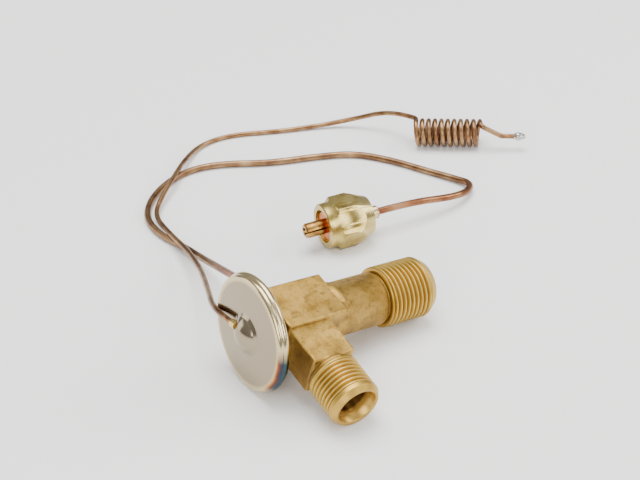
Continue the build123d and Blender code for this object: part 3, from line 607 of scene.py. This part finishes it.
# the rolled stub's seam looks up to one side
seamTurn = math.radians(-29)
stub = placed("turnedStub", nodes["core_depressor"].data.copy())
stub.data.transform(shankMatrix @ Matrix.Rotation(seamTurn, 4, "X") @ shankMatrix.inverted())
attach(stub, "valve")
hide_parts("core_depressor")
print("nut and stub turned")

# the two tubes, each one smooth run
capillary = {
    "diameter": 1.8, "length": 235.7, "stiffness": "stiff",
    "points": [
        (-32.18, 14.35, 20.19), (-32.55, 24.27, 19.00), (-25.27, 40.88, 13.60),
        (-17.77, 58.88, 8.10), (-13.67, 74.98, 5.40), (-12.27, 90.38, 3.50),
        (-9.67, 106.98, 1.60), (-1.87, 114.68, 3.30), (7.53, 122.58, 4.40),
        (18.13, 133.58, 2.60), (29.53, 141.98, 0.92), (42.43, 141.58, 0.92),
        (57.93, 132.98, 0.92), (73.43, 126.38, 1.20), (84.53, 119.98, 3.20),
        (93.35, 108.01, 8.95), (95.88, 98.87, 9.52),
    ],
}
equaliser = {
    "diameter": 2.4, "length": 282.7, "stiffness": "stiff",
    "points": [
        (-18.86, 20.10, 19.13), (-18.62, 26.90, 20.79), (-15.67, 41.38, 14.60),
        (-12.87, 56.38, 8.60), (-11.07, 70.88, 3.70), (-10.87, 83.38, 1.35),
        (-13.87, 95.88, 1.22), (-12.47, 107.88, 1.22), (-5.47, 117.58, 1.22),
        (4.53, 124.38, 1.22), (16.53, 127.58, 1.22), (28.33, 123.98, 1.22),
        (42.43, 113.78, 1.22), (59.13, 107.18, 1.22), (71.53, 100.58, 1.22),
        (79.53, 87.98, 1.22), (85.13, 73.98, 1.22), (89.33, 63.98, 1.40),
        (91.53, 56.98, 1.90), (86.33, 51.98, 2.80), (76.93, 49.98, 4.80),
        (60.97, 51.64, 7.94), (48.15, 53.79, 7.94),
    ],
}


def tubeCurve(name, tube, material):
    curve = bpy.data.curves.new(name, "CURVE")
    curve.dimensions = "3D"
    spline = curve.splines.new("NURBS")
    spline.points.add(len(tube["points"]) - 1)
    for point, place in zip(spline.points, tube["points"]):
        point.co = (*(p * mm for p in place), 1)
    spline.order_u = 3
    spline.use_endpoint_u = True
    curve.resolution_u = 12
    curve.bevel_depth = tube["diameter"] / 2 * mm
    curve.bevel_resolution = 5
    curve.use_fill_caps = True
    curve.materials.append(material)
    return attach(placed(name, curve), "valve")


capillaryTube = tubeCurve("capillaryTube", capillary, capillaryCopper)
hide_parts("capillary_tube")
equaliserTube = tubeCurve("equaliserTube", equaliser, annealedCopper)
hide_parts("equaliser_tube")
print("tubes laid")

# floor, sky and light; lengths here are in metres and powers in watts
studio = {
    "floor": 6.0, "aim": (0.02, 0.05, 0),
    "sky": [(0.0, "#949496"), (0.3, "#B4B4B4"), (0.62, "#B8B8B8"), (0.9, "#FFFFFF")],  # horizon to top
    "panels": [
        {"name": "topPanel", "size": 0.9, "power": 18.0, "at": (0.1, 0.25, 1.15)},
        {"name": "frontPanel", "size": 0.5, "power": 3.6, "at": (-0.55, -0.45, 0.4)},
        {"name": "lowPanel", "size": 0.4, "power": 2.6, "at": (0.24, -0.85, 0.42)},
        {"name": "rightPanel", "size": 0.5, "power": 5.0, "at": (0.8, -0.3, 0.6)},
        {"name": "leftPanel", "size": 0.45, "power": 1.6, "at": (-0.65, 0.75, 0.22)},
    ],
}
bpy.ops.mesh.primitive_plane_add(size=studio["floor"], location=(0, 0, 0))
floor = bpy.context.object
floor.name = "floor"
floorPaint, tree, shader = newMaterial("paleFloor", "#FBFBFA", 0.0, 0.8)
floor.data.materials.append(floorPaint)

world = bpy.data.worlds.new("studio")
bpy.context.scene.world = world
world.use_nodes = True
tree = world.node_tree
height = addNode(tree, "ShaderNodeSeparateXYZ", {}, {
    "Vector": addNode(tree, "ShaderNodeTexCoord").outputs["Generated"]}).outputs["Z"]
sky = addNode(tree, "ShaderNodeValToRGB", {"stops": studio["sky"]}, {"Fac": height})
tree.links.new(sky.outputs["Color"], tree.nodes["Background"].inputs["Color"])

for panel in studio["panels"]:
    lamp = bpy.data.lights.new(panel["name"], "AREA")
    lamp.shape = "SQUARE"
    lamp.size = panel["size"]
    lamp.energy = panel["power"]
    held = placed(panel["name"], lamp)
    held.location = panel["at"]
    toAim = Vector(studio["aim"]) - Vector(panel["at"])
    held.rotation_euler = toAim.to_track_quat("-Z", "Y").to_euler()

cameraView = {
    "lens": 79.875, "sensor": 36.0, "near": 0.01, "at": Vector((-0.189142, -0.278501, 0.263607)),
    "right": Vector((0.828418, -0.559083, -0.033893)), "up": Vector((0.329492, 0.437501, 0.836677)),
    "back": Vector((-0.452944, -0.704286, 0.546647)),
}
lens = bpy.data.cameras.new("camera")
lens.sensor_width = cameraView["sensor"]
lens.lens = cameraView["lens"]
lens.clip_start = cameraView["near"]
camera = placed("camera", lens)
camera.matrix_world = axesMatrix(
    cameraView["at"], cameraView["right"], cameraView["up"], cameraView["back"])
bpy.context.scene.camera = camera
print("stage set")
